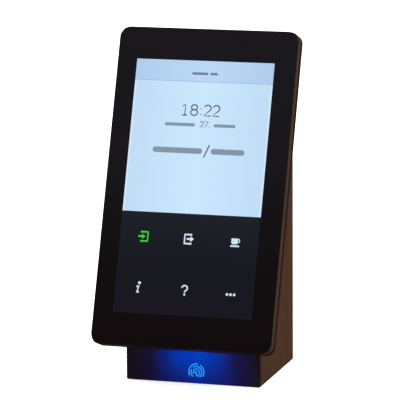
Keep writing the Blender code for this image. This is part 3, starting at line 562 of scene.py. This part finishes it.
def glyph(digit, left, low, width, height):
    """Strokes of one clock numeral."""
    right, high = left + width, low + height
    middle = (left + right) / 2
    if digit == "1":
        return [[(left, high - 0.18 * height), (middle, high), (middle, low)], [(left, low), (right, low)]]
    if digit == "2":
        bow = arc(middle, high - 0.29 * height, width / 2, 0.29 * height, 160, -35)
        return [bow + [(left, low), (right, low)]]
    if digit == "7":
        return [[(left, high), (right, high), (left + 0.3 * width, low)]]
    if digit == "8":
        upper = arc(middle, high - 0.24 * height, 0.44 * width, 0.24 * height, 0, 345)
        lower = arc(middle, low + 0.27 * height, 0.5 * width, 0.27 * height, 0, 345)
        return [upper + upper[:1], lower + lower[:1]]
    raise ValueError(digit)


def bar(left, right, low, height):
    """A plain round-ended bar in place of a word."""
    return rounded(left, right, low, low + height, 0.48 * height, 5)


INK = mark_finish("display_ink", linear(78, 98, 112))
SOFT_INK = mark_finish("display_soft_ink", linear(128, 151, 168))
TITLE_INK = mark_finish("display_title_ink", linear(112, 130, 152))
RULE_INK = mark_finish("display_rule_ink", linear(158, 184, 212))
WHITE = mark_finish("display_white", linear(226, 228, 244))
PALE = mark_finish("display_pale", linear(205, 230, 240))
GREEN_LIGHT = mark_finish("display_green", linear(66, 206, 66))


def make_display():
    """Everything that shows on the display."""
    header = screen_finish("display_header_light", linear(187, 216, 246), linear(177, 205, 238))
    light = screen_finish("display_field_light", linear(203, 231, 254), linear(193, 221, 246),
                          linear(214, 234, 255))
    make_field("display_header", HEADER_BOTTOM, SCREEN_TOP, header)
    make_field("display_light_field", LIGHT_BOTTOM, HEADER_BOTTOM, light)
    make_field("display_dark_field", SCREEN_BOTTOM, LIGHT_BOTTOM, dark_field_finish())
    make_marks("display_header_rule", RULE_INK, [across_screen(RULE_LOW, RULE_HIGH)])
    title = [bar(-8.1, 2.0, TITLE_LOW, 1.5), bar(3.3, 8.0, TITLE_LOW, 1.5)]
    make_marks("display_title_bars", TITLE_INK, title)
    make_clock_and_date()
    make_headline()
    make_icons()


def make_clock_and_date():
    """Clock numerals, the day's number, and a bar on each side of it in place of words."""
    clock = (("1", -11.9, 3.1), ("8", -6.8, 4.3), ("2", 1.5, 4.2), ("2", 6.9, 4.2))
    lines = []
    for digit, left, width in clock:
        lines += glyph(digit, left, CLOCK_LOW, width, CLOCK_HEIGHT)
    dots = [circle(-0.5, CLOCK_LOW + height, 0.42, 12) for height in (0.8, 4.1)]
    make_marks("display_clock_digits", INK, dots, lines, 0.8)
    day = glyph("2", -0.4, DAY_LOW, 2.3, DAY_HEIGHT) + glyph("7", 2.5, DAY_LOW, 2.2, DAY_HEIGHT)
    make_marks("display_day_digits", INK, [circle(5.6, DAY_LOW + 0.2, 0.3, 10)], day, 0.5)
    date = [bar(-22.2, -3.4, DATE_LOW, 1.9), bar(8.2, 21.8, DATE_LOW, 1.9)]
    make_marks("display_date_bars", SOFT_INK, date)


def make_headline():
    """Two broad bars with a slash between them, in place of two words."""
    bars = [bar(-28.3, 2.6, HEADLINE_LOW, 3.4), bar(8.0, 28.8, HEADLINE_LOW, 3.4)]
    make_marks("display_headline_bars", SOFT_INK, bars)
    slash = [(3.8, HEADLINE_LOW - 2.2), (6.8, HEADLINE_LOW + 5.7)]
    make_marks("display_headline_slash", INK, lines=[slash], width=0.8)


def make_icons():
    """Two rows of function marks: come in, go out, pause, about, help and more."""
    enter = [[(-30.6, 68.65), (-26.1, 68.65), (-26.1, 63.1), (-30.6, 63.1)], [(-32.0, 65.9), (-29.4, 65.9)]]
    make_marks("icon_enter", GREEN_LIGHT, [[(-29.6, 67.5), (-29.6, 64.3), (-27.6, 65.9)]], enter, 1.1)
    leave = [[(1.3, 68.35), (-3.1, 68.35), (-3.1, 62.9), (1.3, 62.9)], [(-1.8, 65.7), (0.8, 65.7)]]
    make_marks("icon_leave", WHITE, [[(0.5, 67.5), (0.5, 63.9), (2.6, 65.7)]], leave, 1.1)
    cup = rounded(25.8, 29.8, 64.0, 69.0, 1.2, 5)
    cup = [(x, min(y, 67.5)) for x, y in cup]
    saucer = rounded(25.3, 30.9, 62.4, 63.4, 0.48, 4)
    handle = arc(29.8, 66.1, 1.1, 1.0, -90, 90)
    make_marks("icon_break", PALE, [cup, saucer], [handle], 0.6)
    info = [[(-30.1, 35.5), (-28.7, 35.8), (-29.7, 32.4), (-28.4, 32.5)]]
    make_marks("icon_info", WHITE, [circle(-28.5, 37.85, 0.9)], info, 1.2)
    hook = arc(-0.3, 36.15, 1.7, 1.6, 175, -45) + [(0.0, 34.3), (-0.05, 33.6)]
    make_marks("icon_help", WHITE, [circle(-0.1, 32.4, 0.62)], [hook], 0.85)
    make_marks("icon_more", PALE, [circle(x, 33.9, 0.82) for x in (26.1, 28.3, 30.5)])


# ---------------------------------------------------------------- reader window
def make_reader():
    """Smoked window in the base's front, with a generic fingerprint mark lit in it."""
    shape = bmesh.new()
    outline = rounded(WINDOW_LOW.x, WINDOW_HIGH.x, WINDOW_LOW.z, WINDOW_HIGH.z, WINDOW_CORNER, 4)
    add_slab(shape, BASE, outline, 0.0, WINDOW_LOW.y - WINDOW_HIGH.y, soft=GLASS_SOFT)
    add_piece("reader_front", to_mesh(shape, "reader_front"), WINDOW,
              replaces=("reader_window",))
    glow = mark_finish("reader_mark_light", linear(40, 150, 255))
    x, y = READER_MARK
    ridges = [
        [(x, y - 2.2), (x, y - 0.6)] + arc(x - 0.45, y - 0.2, 0.45, 0.9, 0, 180, 8)[1:],
        arc(x, y + 0.1, 1.9, 2.3, -70, 200),
        arc(x, y + 0.3, 3.3, 3.7, -52, 128),
        arc(x, y + 0.3, 3.3, 3.7, 150, 228),
        arc(x, y + 0.4, 4.7, 5.1, -28, 60),
        arc(x, y + 0.4, 4.7, 5.1, 78, 206),
    ]
    make_marks("reader_mark", glow, lines=ridges, width=0.8, flat=BASE)


make_glass()
make_display()
make_reader()

# ---------------------------------------------------------------- floor, light and camera
FLOOR = 12.0
FLOOR_SEEN, FLOOR_UNSEEN = (0.9, 0.9, 0.9), (0.14, 0.13, 0.125)
DOME, DOME_SEEN, DOME_IN_GLOSS = 1.10, 1.02, 0.22

CAMERA_AZIMUTH = math.radians(16.81)
CAMERA_ELEVATION = math.radians(10.80)
CAMERA_ROLL = math.radians(-0.38)
CAMERA_DISTANCE = 1.9325
CAMERA_AIM = Vector((0.0, 0.0117, 0.1004))
CAMERA_OFF_AXIS = (0.00556, -0.00532)
CAMERA_LENS = 287.2
CAMERA_SENSOR = 36.0


def make_floor():
    """Plain white floor. It throws back little light, so the object's underside stays dark."""
    mesh = bpy.data.meshes.new("studio_floor")
    mesh.from_pydata([(-FLOOR, -FLOOR, 0), (FLOOR, -FLOOR, 0), (FLOOR, FLOOR, 0), (-FLOOR, FLOOR, 0)], [],
                     [(0, 1, 2, 3)])
    made = bpy.data.objects.new("studio_floor", mesh)
    bpy.context.scene.collection.objects.link(made)
    finish = Finish("studio_floor_white")
    finish.constants(Specular_IOR_Level=0.0, Roughness=0.9, Emission_Color=FLOOR_SEEN,
                     Emission_Strength=0.75)
    finish.colour(finish.ramp(finish.noise(3.0), (0.3, (0.89,) * 3), (0.7, (0.91,) * 3)))
    nodes = finish.tree.nodes
    path = nodes.new("ShaderNodeLightPath")
    dim = nodes.new("ShaderNodeBsdfDiffuse")
    dim.inputs["Color"].default_value = (*FLOOR_UNSEEN, 1.0)
    choice = nodes.new("ShaderNodeMixShader")
    finish.link(path.outputs["Is Camera Ray"], choice.inputs[0])
    finish.link(dim.outputs[0], choice.inputs[1])
    finish.link(finish.shader.outputs[0], choice.inputs[2])
    finish.link(choice.outputs[0], nodes["Material Output"].inputs["Surface"])
    mesh.materials.append(finish.material)


def make_world():
    """Even white studio dome. It looks white, lights evenly, and stays dark in glossy surfaces."""
    world = bpy.data.worlds.new("studio")
    world.use_nodes = True
    nodes, links = world.node_tree.nodes, world.node_tree.links
    path = nodes.new("ShaderNodeLightPath")
    background = nodes["Background"]
    background.inputs["Color"].default_value = (1.0, 1.0, 1.0, 1.0)
    by_gloss = nodes.new("ShaderNodeMix")
    by_gloss.inputs[2].default_value = DOME
    by_gloss.inputs[3].default_value = DOME_IN_GLOSS
    links.new(path.outputs["Is Glossy Ray"], by_gloss.inputs[0])
    by_view = nodes.new("ShaderNodeMix")
    by_view.inputs[3].default_value = DOME_SEEN
    links.new(by_gloss.outputs[0], by_view.inputs[2])
    links.new(path.outputs["Is Camera Ray"], by_view.inputs[0])
    links.new(by_view.outputs[0], background.inputs["Strength"])
    bpy.context.scene.world = world


def make_sun(name, azimuth, elevation, strength, softness):
    """Soft directional light. Azimuth is from +X towards -Y."""
    light = bpy.data.lights.new(name, "SUN")
    light.energy = strength
    light.angle = math.radians(softness)
    made = bpy.data.objects.new(name, light)
    turn, rise = math.radians(azimuth), math.radians(elevation)
    towards = Vector((math.cos(turn) * math.cos(rise), -math.sin(turn) * math.cos(rise), math.sin(rise)))
    made.rotation_euler = towards.to_track_quat("Z", "Y").to_euler()
    bpy.context.scene.collection.objects.link(made)


def make_camera():
    """Camera to the right of the front and a little above it."""
    turn, rise, roll = CAMERA_AZIMUTH, CAMERA_ELEVATION, CAMERA_ROLL
    right = Vector((math.cos(turn), math.sin(turn), 0.0))
    back = Vector((math.sin(turn) * math.cos(rise), -math.cos(turn) * math.cos(rise), math.sin(rise)))
    up = back.cross(right)
    rolled_right = right * math.cos(roll) + up * math.sin(roll)
    rolled_up = up * math.cos(roll) - right * math.sin(roll)
    sideways = rolled_right * CAMERA_OFF_AXIS[0] + rolled_up * CAMERA_OFF_AXIS[1]
    data = bpy.data.cameras.new("camera")
    data.lens = CAMERA_LENS
    data.sensor_width = CAMERA_SENSOR
    made = bpy.data.objects.new("camera", data)
    made.matrix_world = Matrix((rolled_right, rolled_up, back)).transposed().to_4x4()
    made.location = CAMERA_AIM + back * CAMERA_DISTANCE - sideways
    bpy.context.scene.collection.objects.link(made)
    bpy.context.scene.camera = made


make_floor()
make_world()
make_sun("key", azimuth=20, elevation=48, strength=1.1, softness=35)
make_sun("rim", azimuth=215, elevation=35, strength=0.9, softness=25)
make_camera()
bpy.context.scene.view_settings.view_transform = "Standard"
